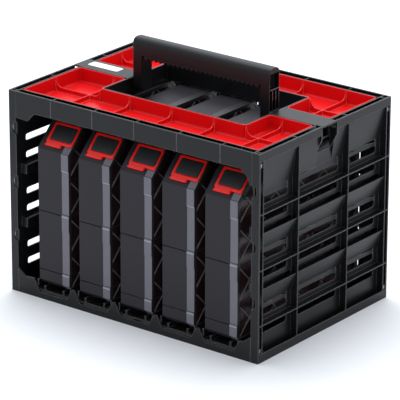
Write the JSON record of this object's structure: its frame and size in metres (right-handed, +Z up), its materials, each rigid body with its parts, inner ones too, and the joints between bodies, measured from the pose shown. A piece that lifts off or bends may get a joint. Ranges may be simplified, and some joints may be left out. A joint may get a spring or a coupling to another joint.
{
  "type": "parts drawer cabinet",
  "caption": "Open-fronted plastic carrying cabinet that holds a row of upright organiser cases, with lift-out trays on top, a well and a folding handle.",
  "frame": {"origin": "centre of the footprint, on the surface that the cabinet stands on", "axes": "+X to the right seen from the open front, +Y to the back, +Z up"},
  "size_m": [0.415, 0.29, 0.343],
  "materials": {
    "cabinet_plastic": "fine-grained black polypropylene, slightly satin",
    "tray_plastic": "satin red polypropylene",
    "case_plastic": "satin grey polypropylene",
    "lid_plastic": "satin dark grey polypropylene",
    "latch_plastic": "red plastic with a soft shine",
    "soft_grip": "matt black soft plastic",
    "bin_plastic": "pale grey plastic",
    "pin_steel": "blackened drawn wire",
    "screw_steel": "zinc-plated"
  },
  "bodies": {
    "cabinet": {"base_panel": "cabinet_plastic", "left_side_panel": "cabinet_plastic", "right_side_panel": "cabinet_plastic", "back_panel": "cabinet_plastic", "front_header": "cabinet_plastic", "bridge_bars": "cabinet_plastic", "top_deck": "cabinet_plastic", "deck_guides": "cabinet_plastic", "handle_pivots": "pin_steel", "panel_screws": "screw_steel"},
    "handle": {"handle_bar": "cabinet_plastic", "handle_grip_pad": "soft_grip"},
    "front_tray_body": {"front_tray": "tray_plastic"},
    "rear_tray_body": {"rear_tray": "tray_plastic"},
    "case_1": {"case_1_body": "case_plastic", "case_1_lid": "lid_plastic", "case_1_hinge_pins": "pin_steel", "case_1_latch_pins": "pin_steel", "case_1_bins": "bin_plastic"},
    "case_1_front_catch": {"case_1_front_latch": "latch_plastic", "case_1_front_latch_pad": "soft_grip"},
    "case_1_rear_catch": {"case_1_rear_latch": "latch_plastic", "case_1_rear_latch_pad": "soft_grip"},
    "case_2": {"case_2_body": "case_plastic", "case_2_lid": "lid_plastic", "case_2_hinge_pins": "pin_steel", "case_2_latch_pins": "pin_steel", "case_2_bins": "bin_plastic"},
    "case_2_front_catch": {"case_2_front_latch": "latch_plastic", "case_2_front_latch_pad": "soft_grip"},
    "case_2_rear_catch": {"case_2_rear_latch": "latch_plastic", "case_2_rear_latch_pad": "soft_grip"},
    "case_3": {"case_3_body": "case_plastic", "case_3_lid": "lid_plastic", "case_3_hinge_pins": "pin_steel", "case_3_latch_pins": "pin_steel", "case_3_bins": "bin_plastic"},
    "case_3_front_catch": {"case_3_front_latch": "latch_plastic", "case_3_front_latch_pad": "soft_grip"},
    "case_3_rear_catch": {"case_3_rear_latch": "latch_plastic", "case_3_rear_latch_pad": "soft_grip"},
    "case_4": {"case_4_body": "case_plastic", "case_4_lid": "lid_plastic", "case_4_hinge_pins": "pin_steel", "case_4_latch_pins": "pin_steel", "case_4_bins": "bin_plastic"},
    "case_4_front_catch": {"case_4_front_latch": "latch_plastic", "case_4_front_latch_pad": "soft_grip"},
    "case_4_rear_catch": {"case_4_rear_latch": "latch_plastic", "case_4_rear_latch_pad": "soft_grip"},
    "case_5": {"case_5_body": "case_plastic", "case_5_lid": "lid_plastic", "case_5_hinge_pins": "pin_steel", "case_5_latch_pins": "pin_steel", "case_5_bins": "bin_plastic"},
    "case_5_front_catch": {"case_5_front_latch": "latch_plastic", "case_5_front_latch_pad": "soft_grip"},
    "case_5_rear_catch": {"case_5_rear_latch": "latch_plastic", "case_5_rear_latch_pad": "soft_grip"}
  },
  "joints": [
    {"name": "handle_fold", "type": "hinge", "parent": "cabinet", "child": "handle", "pos_m": [0.005, 0.006, 0.277], "axis": [1, 0, 0], "range_deg": [-90, 90]},
    {"name": "front_tray_lift", "type": "slide", "parent": "cabinet", "child": "front_tray_body", "axis": [0, 0, 1], "range_m": [0, 0.04]},
    {"name": "rear_tray_lift", "type": "slide", "parent": "cabinet", "child": "rear_tray_body", "axis": [0, 0, 1], "range_m": [0, 0.04]},
    {"name": "case_1_slide", "type": "slide", "parent": "cabinet", "child": "case_1", "axis": [0, -1, 0], "range_m": [0, 0.275]},
    {"name": "case_1_front_latch_turn", "type": "hinge", "parent": "case_1", "child": "case_1_front_catch", "pos_m": [-0.152, -0.12424, 0.23365], "axis": [0, -0.7071, -0.7071], "range_deg": [0, 24]},
    {"name": "case_1_rear_latch_turn", "type": "hinge", "parent": "case_1", "child": "case_1_rear_catch", "pos_m": [-0.152, 0.11024, 0.23365], "axis": [0, -0.7071, 0.7071], "range_deg": [0, 24]},
    {"name": "case_2_slide", "type": "slide", "parent": "cabinet", "child": "case_2", "axis": [0, -1, 0], "range_m": [0, 0.275]},
    {"name": "case_2_front_latch_turn", "type": "hinge", "parent": "case_2", "child": "case_2_front_catch", "pos_m": [-0.082, -0.12424, 0.23365], "axis": [0, -0.7071, -0.7071], "range_deg": [0, 24]},
    {"name": "case_2_rear_latch_turn", "type": "hinge", "parent": "case_2", "child": "case_2_rear_catch", "pos_m": [-0.082, 0.11024, 0.23365], "axis": [0, -0.7071, 0.7071], "range_deg": [0, 24]},
    {"name": "case_3_slide", "type": "slide", "parent": "cabinet", "child": "case_3", "axis": [0, -1, 0], "range_m": [0, 0.275]},
    {"name": "case_3_front_latch_turn", "type": "hinge", "parent": "case_3", "child": "case_3_front_catch", "pos_m": [-0.012, -0.12424, 0.23365], "axis": [0, -0.7071, -0.7071], "range_deg": [0, 24]},
    {"name": "case_3_rear_latch_turn", "type": "hinge", "parent": "case_3", "child": "case_3_rear_catch", "pos_m": [-0.012, 0.11024, 0.23365], "axis": [0, -0.7071, 0.7071], "range_deg": [0, 24]},
    {"name": "case_4_slide", "type": "slide", "parent": "cabinet", "child": "case_4", "axis": [0, -1, 0], "range_m": [0, 0.275]},
    {"name": "case_4_front_latch_turn", "type": "hinge", "parent": "case_4", "child": "case_4_front_catch", "pos_m": [0.058, -0.12424, 0.23365], "axis": [0, -0.7071, -0.7071], "range_deg": [0, 24]},
    {"name": "case_4_rear_latch_turn", "type": "hinge", "parent": "case_4", "child": "case_4_rear_catch", "pos_m": [0.058, 0.11024, 0.23365], "axis": [0, -0.7071, 0.7071], "range_deg": [0, 24]},
    {"name": "case_5_slide", "type": "slide", "parent": "cabinet", "child": "case_5", "axis": [0, -1, 0], "range_m": [0, 0.275]},
    {"name": "case_5_front_latch_turn", "type": "hinge", "parent": "case_5", "child": "case_5_front_catch", "pos_m": [0.128, -0.12424, 0.23365], "axis": [0, -0.7071, -0.7071], "range_deg": [0, 24]},
    {"name": "case_5_rear_latch_turn", "type": "hinge", "parent": "case_5", "child": "case_5_rear_catch", "pos_m": [0.128, 0.11024, 0.23365], "axis": [0, -0.7071, 0.7071], "range_deg": [0, 24]}
  ]
}
